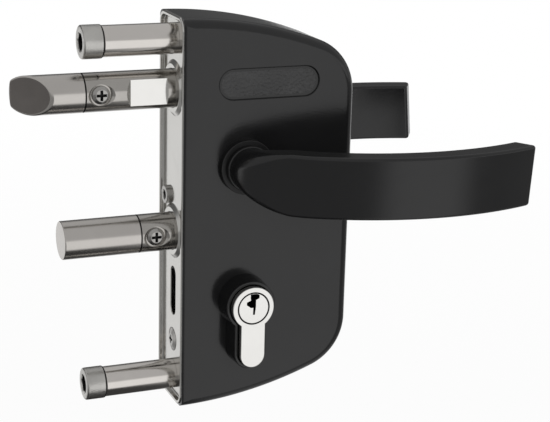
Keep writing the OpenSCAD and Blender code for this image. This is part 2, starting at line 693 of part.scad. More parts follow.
// bushes that the levers turn in
module lever_bush() translate([backset, 0, lever_z]) rotate([90, 0, 0]) rotate_extrude() polygon([
    [journal_r + run, inner_d], [lever_bush_r, inner_d], [lever_bush_r, half_d],
    [bush_flange_r, half_d], [bush_flange_r, half_d + bush_flange_t],
    [journal_r + run, half_d + bush_flange_t]]);
module front_lever_bush() color("#2a2b2b") lever_bush();
module rear_lever_bush() color("#2a2b2b") mirror([0, 1, 0]) lever_bush();

// positions of the pins along the cylinder, from its face inwards
pin_y = [for (i = [0:pin_count - 1]) cyl_len / 2 - pin_first - pin_step * i];
module at_pins(sides) for (s = sides, y = pin_y) translate([backset, s * y, cyl_z]) children();

module cylinder_body() color("#c8c6c0") difference() {
    slab_y(-cyl_len / 2, cyl_len / 2) euro(0);
    translate([backset, 0, cyl_z]) {
        rod_y(-cyl_len, cyl_len, plug_r + run);
        block([-cam_r, cam_r], [-cam_gap, cam_gap], [-web_z, cam_r]);
        translate([0, 0, -lobe_z]) rod_x(-cam_r, cam_r, cyl_screw_r + run);
    }
    at_pins([-1, 1]) rod_z(-chamber_l, -plug_r + over, chamber_r);
}
module cylinder_screw() color("#c4c2bc") translate([0, 0, cyl_z - lobe_z]) difference() {
    rotate([0, 90, 0]) rotate_extrude() polygon([[0, tray_sink - cyl_head_up],
        [cyl_head_r / 2, tray_sink - cyl_head_up], [cyl_head_r, tray_sink], [cyl_screw_r, back_x - gap],
        [cyl_screw_r, backset + lobe_r], [0, backset + lobe_r]]);
    for (a = [0, 90]) rotate([a, 0, 0]) block([0, tray_sink + cross_t / 2],
        [-cross_l / 2, cross_l / 2], [-cross_w / 2, cross_w / 2]);
}
// cam between the two plugs, drawn at the start of the arc in which it moves the deadbolt
module cylinder_cam() color("#a9a79f") translate([backset, 0, cyl_z]) difference() {
    union() {
        rod_y(-cam_half, cam_half, cam_ring_r);
        slab_y(-cam_half, cam_half) rotate(-cam_a) {
            translate([-cam_tip_r, 0]) square([2 * cam_tip_r, cam_r - cam_tip_r]);
            translate([0, cam_r - cam_tip_r]) circle(r = cam_tip_r);
        }
    }
    rod_y(-cam_half - over, cam_half + over, plug_neck_r + run);
}
// plug with its keyway, pin holes and the groove for its clip
module plug() difference() {
    translate([backset, 0, cyl_z]) difference() {
        union() {
            rod_y(-cyl_len / 2, -cam_half - gap, plug_r);
            rod_y(-cyl_len / 2 + over, -neck_end, plug_neck_r);
        }
        difference() {
            rod_y(-cam_gap + gap / 2, -cam_gap + gap / 2 + groove_t, plug_r + over);
            rod_y(-cam_gap, 0, groove_r);
        }
        slab_y(-cyl_len / 2 - over, -cam_gap - over) polygon(keyway);
    }
    at_pins([-1]) rod_z(-plug_r - over, 0, chamber_r);
}
module front_plug() color("#bfbcb4") plug();
module rear_plug() color("#bfbcb4") mirror([0, 1, 0]) plug();

// spring clip that keeps a plug in the cylinder
module plug_clip() translate([backset, 0, cyl_z]) difference() {
    rod_y(-cam_gap + gap / 2 + run, -cam_gap + gap / 2 + run + clip_t, clip_out_r);
    rod_y(-cam_gap, 0, clip_in_r);
    block([-clip_in_r / 2, clip_in_r / 2], [-cam_gap, 0], [-cyl_r - over, 0]);
}
module front_plug_clip() color("#8d9195") plug_clip();
module rear_plug_clip() color("#8d9195") mirror([0, 1, 0]) plug_clip();

// pins, drawn as a key in the plug would hold them, with the joint between them on the plug's edge
module key_pin() {
    rod_z(gap - plug_r, -key_pin_top - pin_r, pin_r);
    translate([0, 0, -key_pin_top - pin_r]) cylinder(h = pin_r, r1 = pin_r, r2 = pin_r / 3);
}
module front_key_pins() color("#b08d4f") at_pins([-1]) key_pin();
module rear_key_pins() color("#b08d4f") at_pins([1]) key_pin();
module driver_pins() color("#b08d4f") at_pins([-1, 1]) rod_z(-plug_r - run - driver_l, -plug_r - gap, pin_r);
pin_z0 = gap + pin_wire_r - chamber_l;
pin_z1 = -plug_r - run - driver_l - gap - pin_wire_r;
pin_coil = [for (i = [0:pin_turns * pin_rings]) let (a = 360 * i / pin_rings)
    [pin_coil_r * cos(a), pin_coil_r * sin(a), pin_z0 + (pin_z1 - pin_z0) * i / (pin_turns * pin_rings)]];
echo(pin_spring_gap = least_gap(pin_coil, pin_wire_r, pin_rings / 2 + 1));
module pin_springs() color("#c4c4c0") at_pins([-1, 1]) tube(pin_coil, [0, 0, 1], pin_wire_r, 4);

case_shell();
forend_tray();
front_side_plate();
rear_side_plate();
spacer_posts();
tie_rod();
forend_screw();
latch_guide_bush();
deadbolt_guide_bush();
fixing_screws();
fixing_sleeves();
fixing_nuts();
latch_bar();
latch_tip();
latch_tip_screw();
latch_spring();
spring_stop_plate();
spring_guide_pin();
deadbolt_bar();
deadbolt_tip();
deadbolt_tip_screw();
deadbolt_tail();
tail_rivets();
tail_guide_post();
detent_spring();
follower();
spindle();
return_spring();
front_lever();
rear_lever();
lever_set_screws();
front_lever_bush();
rear_lever_bush();
cylinder_body();
cylinder_screw();
cylinder_cam();
front_plug();
rear_plug();
front_plug_clip();
rear_plug_clip();
front_key_pins();
rear_key_pins();
driver_pins();
pin_springs();
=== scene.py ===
import json
from math import acos, asin, atan2, cos, degrees, pi, radians, sin, sqrt, tan

import bmesh
import bpy
from mathutils import Matrix, Vector


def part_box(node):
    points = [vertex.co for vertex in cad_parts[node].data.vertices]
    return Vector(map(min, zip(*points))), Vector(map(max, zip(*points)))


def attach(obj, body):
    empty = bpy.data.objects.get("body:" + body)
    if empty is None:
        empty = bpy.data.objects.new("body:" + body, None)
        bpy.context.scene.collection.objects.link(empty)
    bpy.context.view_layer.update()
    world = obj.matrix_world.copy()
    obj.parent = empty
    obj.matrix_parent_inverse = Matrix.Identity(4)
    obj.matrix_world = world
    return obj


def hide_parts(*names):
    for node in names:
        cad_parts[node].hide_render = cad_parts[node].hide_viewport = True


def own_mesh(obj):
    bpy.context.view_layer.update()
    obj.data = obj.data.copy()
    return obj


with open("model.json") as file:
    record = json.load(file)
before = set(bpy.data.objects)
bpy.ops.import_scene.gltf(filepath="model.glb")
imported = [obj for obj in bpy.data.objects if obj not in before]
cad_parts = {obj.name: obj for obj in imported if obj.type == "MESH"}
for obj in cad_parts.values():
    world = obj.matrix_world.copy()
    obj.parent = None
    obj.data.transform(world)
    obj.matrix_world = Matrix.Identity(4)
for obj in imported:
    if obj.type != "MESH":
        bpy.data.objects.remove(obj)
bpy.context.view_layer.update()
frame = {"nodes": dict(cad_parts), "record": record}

# Case: the casting that carries everything, in light alloy under a black powder coat.
# Its outline is drawn in along the rounded edges of both faces, and it is hollow and open towards the post.
# The front face has a shallow recess, and both faces have a raised collar round the cylinder.
MM = 0.001
WELD = 1e-7
CREASE = radians(32)
FULL_TURN = 96
case_w, half_h, half_d = 71, 77.5, 15.25
seat_x, edge_r, top_r, corner_r, wall = 0.5, 4, 160, 22, 2.5
seat_w, seat_t = 5, 0.5
gap = 0.2
backset, lever_z, cyl_z = 25.5, 20, -34
inner_d = half_d - wall
blind = wall + 1


class Skin:
    """The surface of one piece, in millimetres: rings of points joined by strips, caps and flat fills."""

    def __init__(self):
        self.bm = bmesh.new()

    def ring(self, points):
        return [self.bm.verts.new(Vector(p) * MM) for p in points]

    def strip(self, a, b, finish=0):
        for i in range(len(a)):
            j = (i + 1) % len(a)
            self.bm.faces.new((a[i], a[j], b[j], b[i])).material_index = finish

    def stack(self, rings, finish=0):
        for a, b in zip(rings, rings[1:]):
            self.strip(a, b, finish)
        return rings

    def cap(self, ring, finish=0):
        self.bm.faces.new(ring).material_index = finish

    def fill(self, *rings, finish=0):
        edges = []
        for ring in rings:
            for i, v in enumerate(ring):
                edges.append(self.bm.edges.get((v, ring[i - 1])) or self.bm.edges.new((v, ring[i - 1])))
        made = bmesh.ops.triangle_fill(self.bm, use_beauty=True, edges=edges)["geom"]
        for face in made:
            if isinstance(face, bmesh.types.BMFace):
                face.material_index = finish

    def piece(self, name, *finishes):
        bmesh.ops.remove_doubles(self.bm, verts=self.bm.verts, dist=WELD)
        bmesh.ops.recalc_face_normals(self.bm, faces=self.bm.faces)
        mesh = bpy.data.meshes.new(name)
        self.bm.to_mesh(mesh)
        self.bm.free()
        for finish in finishes:
            mesh.materials.append(finish)
        obj = bpy.data.objects.new(name, mesh)
        bpy.context.scene.collection.objects.link(obj)
        return obj


def arc(x, z, r, start, end, steps):
    """Points along an arc, with its angles in degrees."""
    turns = [radians(start + (end - start) * i / steps) for i in range(steps + 1)]
    return [(x + r * cos(a), z + r * sin(a)) for a in turns]


def eased(corners, rounds, steps=5):
    """A line with each inner corner rounded by its own radius."""
    line = [corners[0]]
    for before, here, after, r in zip(corners, corners[1:], corners[2:], rounds):
        corner = Vector(here)
        into, out = Vector(before) - corner, Vector(after) - corner
        reach = r / tan(into.angle(out) / 2)
        start, end = corner + into.normalized() * reach, corner + out.normalized() * reach
        for i in range(steps + 1 if r else 1):
            t = i / steps
            line.append(tuple((1 - t) ** 2 * start + 2 * t * (1 - t) * corner + t * t * end))
    return line + [corners[-1]]


def at_y(points, y):
    return [(x, y, z) for x, z in points]


def seat_in(bend):
    """How far the seat edge is eased where the rounded edge has turned this far."""
    t = max(0, 1 - edge_r * (1 - sin(bend)) / seat_t)
    return seat_w * (1 - sqrt(1 - t * t))


def case_outline(inset, start_x):
    """The case seen from the front, drawn in by an inset: two flat crowns and two round far corners."""
    far_x, crown_z, crown_steps, corner_steps = case_w - corner_r, half_h - top_r, 40, 28
    far_z = crown_z + sqrt((top_r - corner_r) ** 2 - far_x ** 2)
    turn = degrees(atan2(far_z - crown_z, far_x))
    start = degrees(acos(start_x / (top_r - inset)))
    upper = arc(0, crown_z, top_r - inset, start, turn, crown_steps)
    upper += arc(far_x, far_z, corner_r - inset, turn, 0, corner_steps)[1:]
    return upper + [(x, -z) for x, z in reversed(upper)]


def euro(grow):
    """The standard profile of the cylinder: a round head with a straight lobe below it."""
    head, lobe, drop, head_steps, lobe_steps = 8.5 + grow, 5 + grow, 19.5, 56, 28
    neck = degrees(asin(lobe / head))
    return (arc(backset, cyl_z, head, neck - 90, 270 - neck, head_steps)
            + arc(backset, cyl_z - drop, lobe, 180, 360, lobe_steps))


def obround(x, z, length, height):
    """A slot with round ends, as an outline that can grow."""
    reach = (length - height) / 2
    return lambda grow: (arc(x + reach, z, height / 2 + grow, -90, 90, 24)
                         + arc(x - reach, z, height / 2 + grow, 90, 270, 24))


def circle(x, z, r, steps=FULL_TURN):
    return lambda grow: arc(x, z, r + grow, 0, 360, steps)[:-1]


def wire(tree, kind, inputs=None, **settings):
    """Add a shader node with its settings, and link or set its inputs."""
    node = tree.nodes.new("ShaderNode" + kind)
    for key, value in settings.items():
        setattr(node, key, value)
    for key, value in (inputs or {}).items():
        if isinstance(value, bpy.types.NodeSocket):
            tree.links.new(value, node.inputs[key])
        else:
            node.inputs[key].default_value = value
    return node


def effect(name, takes, gives):
    """A shader node group with named inputs and outputs."""
    tree = bpy.data.node_groups.new(name, "ShaderNodeTree")
    for socket, kind in takes.items():
        tree.interface.new_socket(socket, in_out="INPUT", socket_type="NodeSocket" + kind)
    for socket in gives:
        tree.interface.new_socket(socket, in_out="OUTPUT", socket_type="NodeSocketFloat")
    return tree, tree.nodes.new("NodeGroupInput").outputs, tree.nodes.new("NodeGroupOutput").inputs


def material(name):
    finish = bpy.data.materials.new(name)
    finish.use_nodes = True
    return finish, finish.node_tree, finish.node_tree.nodes["Principled BSDF"]


def between(tree, mask, dark, light):
    """A colour that a mask moves between two tones."""
    mix = wire(tree, "Mix", {0: mask, 6: (*dark, 1), 7: (*light, 1)}, data_type="RGBA")
    return mix.outputs[2]


def spread(tree, mask, low, high):
    """A value that a mask moves between two limits."""
    return wire(tree, "MapRange", {"Value": mask, "To Min": low, "To Max": high}).outputs["Result"]


# the leathery grain of a sprayed coat, and the cloudy tone and smudges over it
coat_relief = 0.00008
coat_grain, takes, gives = effect("coat_grain", {"Scale": "Float"}, ["Height", "Tone", "Smudge"])
place = wire(coat_grain, "TexCoord").outputs["Object"]
pebbles = wire(coat_grain, "TexVoronoi", {"Vector": place, "Scale": takes["Scale"], "Smoothness": 0.6},
               feature="SMOOTH_F1")
ripple = wire(coat_grain, "TexNoise", {"Vector": place, "Scale": takes["Scale"], "Detail": 3.0})
height = wire(coat_grain, "Math", {0: pebbles.outputs["Distance"], 1: ripple.outputs["Fac"]})
cloud = wire(coat_grain, "TexNoise", {"Vector": place, "Scale": 38.0, "Detail": 4.0})
smudge = wire(coat_grain, "TexNoise", {"Vector": place, "Scale": 95.0, "Detail": 6.0, "Distortion": 1.2})
coat_grain.links.new(height.outputs[0], gives["Height"])
coat_grain.links.new(cloud.outputs["Fac"], gives["Tone"])
coat_grain.links.new(smudge.outputs["Fac"], gives["Smudge"])


def black_coat(name, dark, light, grain, bump, smooth, rough):
    """A sprayed or moulded black, with its grain in relief and its gloss between two roughnesses."""
    finish, tree, shader = material(name)
    coat = tree.nodes.new("ShaderNodeGroup")
    coat.node_tree = coat_grain
    coat.inputs["Scale"].default_value = grain
    relief = wire(tree, "Bump", {"Height": coat.outputs["Height"], "Distance": bump * coat_relief})
    tree.links.new(between(tree, coat.outputs["Tone"], dark, light), shader.inputs["Base Color"])
    tree.links.new(spread(tree, coat.outputs["Smudge"], smooth, rough), shader.inputs["Roughness"])
    tree.links.new(relief.outputs["Normal"], shader.inputs["Normal"])
    return finish


powder_coat = black_coat("powder_coat", (0.005, 0.005, 0.0053), (0.009, 0.009, 0.0093), 1500, 0.1, 0.12, 0.2)
cast_grain = black_coat("cast_grain", (0.022, 0.022, 0.0225), (0.055, 0.055, 0.0555), 900, 3.0, 0.4, 0.55)

case = Skin()
bend_steps = 20
bends = [radians(90 * i / bend_steps) for i in range(bend_steps + 1)]
outer = []
for side in (-1, 1):
    for bend in bends[::side]:
        y = side * (half_d - edge_r + edge_r * sin(bend))
        outline = case_outline(edge_r * (1 - cos(bend)), seat_x + seat_in(bend))
        outer.append(case.ring(at_y(outline, y)))
case.stack(outer)
recess_x, recess_z, recess_l, recess_h, recess_t = case_w - 36.2, half_h - 25.4, 41, 12, 0.8
recess_out, recess_in, recess_draft, recess_edges = 0.7, 1.2, 0.15, (0.4, 0.35)
collar_w, collar_h, collar_draft, collar_edges, bush_hole_r = 1.5, 9, 0.5, (0.45, 0.35), 10.05
collar_line = eased([(collar_w + collar_draft, 0), (collar_w, collar_h), (gap, collar_h), (gap, -blind)], collar_edges)
recess_line = eased([(recess_out, 0), (0, 0), (-recess_draft, -recess_t), (-recess_in, -recess_t)], recess_edges)


def mould(side, outline, line):
    """Carry a profile line of (growth, height) round an outline on one face, and return its rings."""
    return case.stack([case.ring(at_y(outline(grow), side * (half_d + up))) for grow, up in line])


for side, face in ((-1, outer[0]), (1, outer[-1])):
    holes = [mould(side, euro, collar_line),
             mould(side, circle(backset, lever_z, bush_hole_r), [(0, 0), (0, -blind)])]
    recess = [mould(side, obround(recess_x, recess_z, recess_l, recess_h), recess_line)] if side < 0 else []
    case.fill(face, *[rim[0] for rim in holes + recess])
    for rim in holes:
        case.fill(rim[-1])
    for rim in recess:
        case.fill(rim[-1], finish=1)
casting = case.piece("case_casting", powder_coat, cast_grain)

hollow = Skin()
hollow_line = case_outline(wall, seat_x + wall)
for ring in hollow.stack([hollow.ring(at_y(hollow_line, y)) for y in (-inner_d, inner_d)]):
    hollow.cap(ring)
lip, over = 1.2, 1
tray_half, tray_r, tray_depth, rim_t, skirt_in = half_d - lip, 5, 4.5, 1.2, 1


def at_x(points, x):
    return [(x, y, z) for y, z in points]


def tray_outline(grow):
    """The forend's outline, with round corners."""
    y, z, r = tray_half + grow, half_h + grow, tray_r + grow
    corners = ((1, 1, 0), (-1, 1, 90), (-1, -1, 180), (1, -1, 270))
    return [p for s, t, a in corners for p in arc(s * (y - r), t * (z - r), r, a, a + 90, 12)]


def cut(piece, *tools, join=False):
    """Take the tools' solids away from a piece, or join them to it, and drop the tools."""
    for tool in tools:
        step = piece.modifiers.new("cut", "BOOLEAN")
        step.object = tool
        step.operation = "UNION" if join else "DIFFERENCE"
        step.solver = "EXACT"
        step.material_mode = "TRANSFER"
    solid = piece.evaluated_get(bpy.context.evaluated_depsgraph_get())
    piece.data = bpy.data.meshes.new_from_object(solid)
    piece.modifiers.clear()
    for tool in tools:
        bpy.data.objects.remove(tool)


mouth = Skin()
mouth_line = [(gap, -over), (gap, rim_t), (gap - skirt_in, rim_t), (gap - skirt_in, tray_depth + gap)]
mouth_rings = mouth.stack([mouth.ring(at_x(tray_outline(grow), x)) for grow, x in mouth_line])
mouth.cap(mouth_rings[0])
mouth.cap(mouth_rings[-1])
cut(casting, hollow.piece("hollow"), mouth.piece("mouth"))


def turned(skin, centre, line, along="x", steps=FULL_TURN, finish=0, shut=False, knurl=0):
    """Turn a line of (place along the axis, radius) about an axis through the centre, with a knurl of some depth."""
    rings = []
    for place, r in line:
        spin = arc(*centre, r, 0, 360, steps)[:-1]
        spin[::2] = arc(*centre, r - knurl, 0, 360, steps)[:-1:2]
        rings.append(skin.ring(at_x(spin, place) if along == "x" else at_y(spin, place)))
    skin.stack(rings + rings[:1] if shut else rings, finish)
    return rings


def rod(name, centre, line, *finishes, along="x", steps=FULL_TURN):
    """A turned solid with flat ends."""
    skin = Skin()
    rings = turned(skin, centre, line, along, steps)
    skin.cap(rings[0])
    skin.cap(rings[-1])
    return skin.piece(name, *finishes)


def fit(piece, body, slot, *nodes):
    """Shade a finished piece, set it on its body and let it stand for its nodes."""
    piece.data.shade_smooth()
    piece.data.set_sharp_from_angle(angle=CREASE)
    piece.modifiers.new("even_faces", "WEIGHTED_NORMAL").keep_sharp = True
    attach(piece, body)
    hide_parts(*nodes)


tie_y, tie_z, boss_r, boss_l, tie_r = 7.1, 4.9, 3.4, 7, 2.45
boss_x = case_w - wall - boss_l
cut(casting, rod("boss", (tie_y, tie_z), [(boss_x, boss_r), (case_w - wall / 2, boss_r)], steps=48), join=True)
cut(casting, rod("bore", (tie_y, tie_z), [(boss_x - over, tie_r), (case_w - wall, tie_r)], steps=48))
fit(casting, "case", "black_coated_alloy", "case_shell")

# Forend: a tray pressed from stainless sheet and polished, which closes the case and seats on the post.
# Its rim stands round a sunk floor that has holes for the bolts, the fixings and two screws, and one slot.
metal_relief = 0.00002
metal_marks, takes, gives = effect("metal_marks", {"Stretch": "Vector", "Scale": "Float"}, ["Height", "Tone"])
place = wire(metal_marks, "TexCoord").outputs["Object"]
drawn = wire(metal_marks, "VectorMath", {0: place, 1: takes["Stretch"]}, operation="MULTIPLY").outputs[0]
lines = wire(metal_marks, "TexNoise", {"Vector": drawn, "Scale": takes["Scale"], "Detail": 5.0})
haze = wire(metal_marks, "TexNoise", {"Vector": place, "Scale": 70.0, "Detail": 5.0, "Distortion": 0.8})
metal_marks.links.new(lines.outputs["Fac"], gives["Height"])
metal_marks.links.new(haze.outputs["Fac"], gives["Tone"])


def bare_metal(name, dark, light, smooth, rough, stretch, scale, bump):
    """A bare or plated metal with marks drawn out along its working direction."""
    finish, tree, shader = material(name)
    marks = tree.nodes.new("ShaderNodeGroup")
    marks.node_tree = metal_marks
    marks.inputs["Stretch"].default_value = stretch
    marks.inputs["Scale"].default_value = scale
    relief = wire(tree, "Bump", {"Height": marks.outputs["Height"], "Distance": bump * metal_relief})
    shader.inputs["Metallic"].default_value = 1.0
    tree.links.new(between(tree, marks.outputs["Tone"], dark, light), shader.inputs["Base Color"])
    tree.links.new(spread(tree, marks.outputs["Height"], smooth, rough), shader.inputs["Roughness"])
    tree.links.new(relief.outputs["Normal"], shader.inputs["Normal"])
    return finish


polished_stainless = bare_metal("polished_stainless", (0.6, 0.59, 0.565), (0.7, 0.69, 0.665), 0.1, 0.2,
                                (1, 1, 0.12), 900, 0.12)
latch_z, dead_z, fix_z, screw_z = 49, -8, 68.1, -53.5
rim_w, rim_edges, tray_sink, tray_back, floor_in = 1.6, (0.6, 0.65, 0.8), 1.5, 3.5, 1.4
bolt_hole_r, fix_hole_r, tie_hole_r, screw_hole_r, screw_sink = 9.5, 4.2, 1.9, 2.65, 2.15
slot_z, slot_l, slot_w, slot_out, slot_edge = cyl_z + 1, 20, 6, 0.5, 0.4
tray = Skin()
tray_line = eased([(-skirt_in, tray_depth), (-skirt_in, rim_t), (0, rim_t), (0, 0), (-rim_w, 0), (-rim_w, tray_sink),
                   (-rim_w - floor_in, tray_sink)], (0, 0, *rim_edges))
pressed = tray.stack([tray.ring(at_x(tray_outline(grow), x)) for grow, x in tray_line])
inside = tray.stack([tray.ring(at_x(tray_outline(-rim_w), x)) for x in (tray_depth, tray_back)])
tray.strip(pressed[0], inside[0])
through = [(0, tray_sink), (0, tray_back)]
sunk = [(screw_sink, tray_sink), (0, tray_back)]
rolled = eased([(slot_out, tray_sink), (0, tray_sink), (0, tray_back)], (slot_edge,))
lying = obround(slot_z, 0, slot_l, slot_w)
holes = [(circle(0, latch_z, bolt_hole_r), through), (circle(0, dead_z, bolt_hole_r), through),
         (circle(0, fix_z, fix_hole_r, 48), through), (circle(0, -fix_z, fix_hole_r, 48), through),
         (circle(tie_y, tie_z, tie_hole_r, 32), through), (circle(0, screw_z, screw_hole_r, 48), sunk),
         (lambda grow: [(-y, z) for z, y in lying(grow)], rolled)]
rims = [tray.stack([tray.ring(at_x(outline(grow), x)) for grow, x in line]) for outline, line in holes]
tray.fill(pressed[-1], *[rim[0] for rim in rims])
tray.fill(inside[-1], *[rim[-1] for rim in rims])
fit(tray.piece("forend_pressing", polished_stainless), "case", "forend_stainless", "forend_tray")

# Bolt bushes: turned stainless rings, pressed into the forend, with a conical collar in front of its floor.
# The latch and the deadbolt slide in them.
bolt_r, bush_r, cone_r, cone_x, cone_edges, run = 7.5, 9.4, 11, 0.3, (0.3, 0.5, 0.08), 0.05
latch_bush_l, dead_bush_l = 8, 1.7
for name, node, z, length in (("latch_bush_ring", "latch_guide_bush", latch_z, latch_bush_l),
                              ("deadbolt_bush_ring", "deadbolt_guide_bush", dead_z, dead_bush_l)):
    bush = Skin()
    bore, end = bolt_r + run, tray_back + length
    line = eased([(end, bore), (cone_x, bore), (cone_x, bush_r), (tray_sink, cone_r), (tray_sink, bush_r),
                  (end, bush_r)], (*cone_edges, 0))
    turned(bush, (0, z), line, shut=True)
    fit(bush.piece(name, polished_stainless), "case", "forend_stainless", node)

# Fixings: two stainless sleeves that pass through the post, each closed by a socket screw.
# The sleeves are turned and polished, the screw heads are satin, knurled, with a rounded edge and a hexagon socket.
sleeve_steel = bare_metal("sleeve_steel", (0.64, 0.61, 0.58), (0.74, 0.71, 0.675), 0.1, 0.2, (0.3, 4, 4), 900, 0.05)
head_steel = bare_metal("head_steel", (0.46, 0.45, 0.43), (0.7, 0.69, 0.66), 0.24, 0.42, (1, 1, 1), 1400, 5)
# painted shade: a near-black steel for the recesses, sockets, grooves and seams of the metal parts
shadowed_steel = bare_metal("shadowed_steel", (0.03, 0.03, 0.03), (0.06, 0.058, 0.055), 0.5, 0.7,
                            (1, 1, 1), 1500, 0.3)
sleeve_out, sleeve_r, sleeve_edges, thread_r, screw_l, nut_end = 27.4, 6, (0.1, 0.35, 0.1), 4, 12, 15.5
head_r, head_h, crown_edge, foot_edge, knurl_in, knurl_t = 6.4, 8, 0.9, 0.6, 0.2, 0.15
mouth_r, hex_t, hex_flat, end_r, end_room = 3.9, 4.5, 3.2, 0.5, 1
sleeve_bore_r, bore_end = thread_r + run, screw_l - sleeve_out
screw_end, top = bore_end - end_room, -sleeve_out - head_h
sleeves, screws = Skin(), Skin()


def hexagon(flat, steps):
    """How far a hexagon reaches at each turn, against its half width across flats."""
    step, sixth = 2 * pi / steps, pi / 3
    return [flat / cos((i * step) % sixth - sixth / 2) for i in range(steps)]


def hex_socket(skin, centre, x, mouth_r, flat, depth, steps, finish):
    """A socket in a head's face: a round countersink that runs into a hexagon, whose walls and floor take the finish
    given, the painted shade of a deep hole.
    """
    spins = [2 * pi * i / steps for i in range(steps)]
    lead = 0.35
    reaches = [(x, [mouth_r] * steps), (x + lead, hexagon(flat, steps)), (x + depth, hexagon(flat, steps))]
    rings = [skin.ring([(at, centre[0] + r * cos(a), centre[1] + r * sin(a)) for a, r in zip(spins, reach)])
             for at, reach in reaches]
    skin.strip(rings[0], rings[1])
    skin.strip(rings[1], rings[2], finish)
    skin.cap(rings[2], finish)


for z in (fix_z, -fix_z):
    line = eased([(bore_end, end_r), (bore_end, sleeve_bore_r), (-sleeve_out, sleeve_bore_r), (-sleeve_out, sleeve_r),
                  (tray_sink, sleeve_r), (tray_sink, thread_r), (nut_end, thread_r), (nut_end, end_r)],
                 (0, *sleeve_edges, 0, 0))
    rings = turned(sleeves, (0, z), line)
    sleeves.cap(rings[0])
    sleeves.cap(rings[-1])
    crown = turned(screws, (0, z), eased([(top, mouth_r), (top, head_r), (-sleeve_out, head_r)], (crown_edge,))[:-1])
    side = [(top + crown_edge + knurl_in, head_r), (-sleeve_out - foot_edge - knurl_in, head_r)]
    grip = turned(screws, (0, z), side, knurl=knurl_t)
    # the head's back edge and the shank are painted in shade, which shows as a dark seam against the sleeve
    line = eased([(top, head_r), (-sleeve_out, head_r), (-sleeve_out, thread_r), (screw_end, thread_r),
                  (screw_end, end_r)], (foot_edge, 0, 0))[1:]
    foot = turned(screws, (0, z), line, finish=1)
    screws.strip(crown[-1], grip[0])
    screws.strip(grip[-1], foot[0])
    screws.cap(foot[-1])
    hex_socket(screws, (0, z), top, mouth_r, hex_flat, hex_t, FULL_TURN, 1)
fit(sleeves.piece("post_sleeves", sleeve_steel), "case", "fixing_steel", "fixing_sleeves")
fit(screws.piece("socket_screws", head_steel, shadowed_steel), "case", "fixing_steel", "fixing_screws")

# Forend screw: a low socket screw above the deadbolt, turned in bright steel.
# It goes through the forend into the tie rod, which is fixed in the case, and so draws the two together.
tie_head_r, tie_head_edge, tie_thread_r, tie_end, small_end_r = 3.6, 0.3, 1.7, 16.5, 0.4
tie_mouth_r, tie_hex_flat, tie_hex_t, small_steps = 2.1, 1.5, 1, 72
bright_screw = bare_metal("bright_screw", (0.34, 0.33, 0.315), (0.5, 0.49, 0.47), 0.16, 0.3, (1, 1, 1), 1200, 0.25)
screw = Skin()
line = eased([(0, tie_mouth_r), (0, tie_head_r), (tray_sink, tie_head_r), (tray_sink, tie_thread_r),
              (tie_end, tie_thread_r), (tie_end, small_end_r)], (tie_head_edge, 0, 0, 0))
rings = turned(screw, (tie_y, tie_z), line, steps=small_steps)
screw.cap(rings[-1])
hex_socket(screw, (tie_y, tie_z), 0, tie_mouth_r, tie_hex_flat, tie_hex_t, small_steps, 1)
fit(screw.piece("forend_socket_screw", bright_screw, shadowed_steel), "case", "screw_steel", "forend_screw")

# Cylinder screw: a long countersunk screw low in the forend, in bright steel with a cross recess.
# It goes through the forend into the middle of the cylinder, and holds it in the case.
cyl_head_x, cyl_face_r, cyl_head_r, sink_end = 0.7, 2.4, 4.7, 3.3
cyl_thread_r, cyl_screw_end, cyl_screw_edges = 2.45, 31, (1.0, 0.15)
cyl_cross_l, cyl_cross_w = 3.8, 0.9
cross_t, cross_top, cross_foot, blade_more = 1.3, 1.15, 0.6, 0.2


def cross_tool(centre, face, along, length, width, finish):
    """The two tapered blades that leave a cross recess in a screw's head, and give its walls their finish, the painted
    shade of a deep recess.
    """
    tool = []
    for upright_blade in (False, True):
        skin = Skin()
        rings = []
        for down, share in ((-over, cross_top), (cross_t, cross_foot)):
            a, b = length / 2 * share, width / 2 * (share + blade_more)
            if upright_blade:
                a, b = b, a
            place = face + down
            blade = [(centre[0] + s * a, centre[1] + t * b) for s, t in ((1, 1), (-1, 1), (-1, -1), (1, -1))]
            rings.append(skin.ring(at_x(blade, place) if along == "x" else at_y(blade, place)))
        skin.stack(rings)
        skin.cap(rings[0])
        skin.cap(rings[1])
        tool.append(skin.piece("blade", finish))
    return tool


line = eased([(cyl_head_x, small_end_r), (cyl_head_x, cyl_face_r), (tray_sink, cyl_head_r), (sink_end, cyl_thread_r),
              (cyl_screw_end, cyl_thread_r), (cyl_screw_end, small_end_r)], (*cyl_screw_edges, 0, 0))
fixing = rod("cylinder_fixing_screw", (0, screw_z), line, bright_screw, steps=small_steps)
cut(fixing, *cross_tool((0, screw_z), cyl_head_x, "x", cyl_cross_l, cyl_cross_w, shadowed_steel))
fit(fixing, "case", "screw_steel", "cylinder_screw")

# Latch bolt: a round stainless bar with a flat milled in its front, and a tip held by a cross-head screw.
# The tip has a bevel that the keep pushes on.
# The bar's inner end has a slot for the follower's arm and a bore for the spring.
bolt_steel = bare_metal("bolt_steel", (0.52, 0.495, 0.47), (0.62, 0.595, 0.565), 0.14, 0.26, (3, 0.6, 0.6), 900, 0.05)
bar_steel = bare_metal("bar_steel", (0.4, 0.385, 0.36), (0.5, 0.48, 0.455), 0.1, 0.2, (3, 0.6, 0.6), 900, 0.05)
milled_steel = bare_metal("milled_steel", (0.82, 0.81, 0.785), (0.9, 0.89, 0.865), 0.16, 0.26, (1, 1, 1), 900, 0.05)
bevel_steel = bare_metal("bevel_steel", (0.2, 0.185, 0.175), (0.28, 0.26, 0.245), 0.42, 0.55, (1, 1, 1), 1300, 0.2)
bolt_edge, screw_back = 0.3, 6
latch_out, latch_seam, latch_end = 60.7, 35.1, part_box("latch_bar")[1].x / MM
flat_x0, flat_x1, flat_y, runout = -17.5, -3.2, 5.59, 3


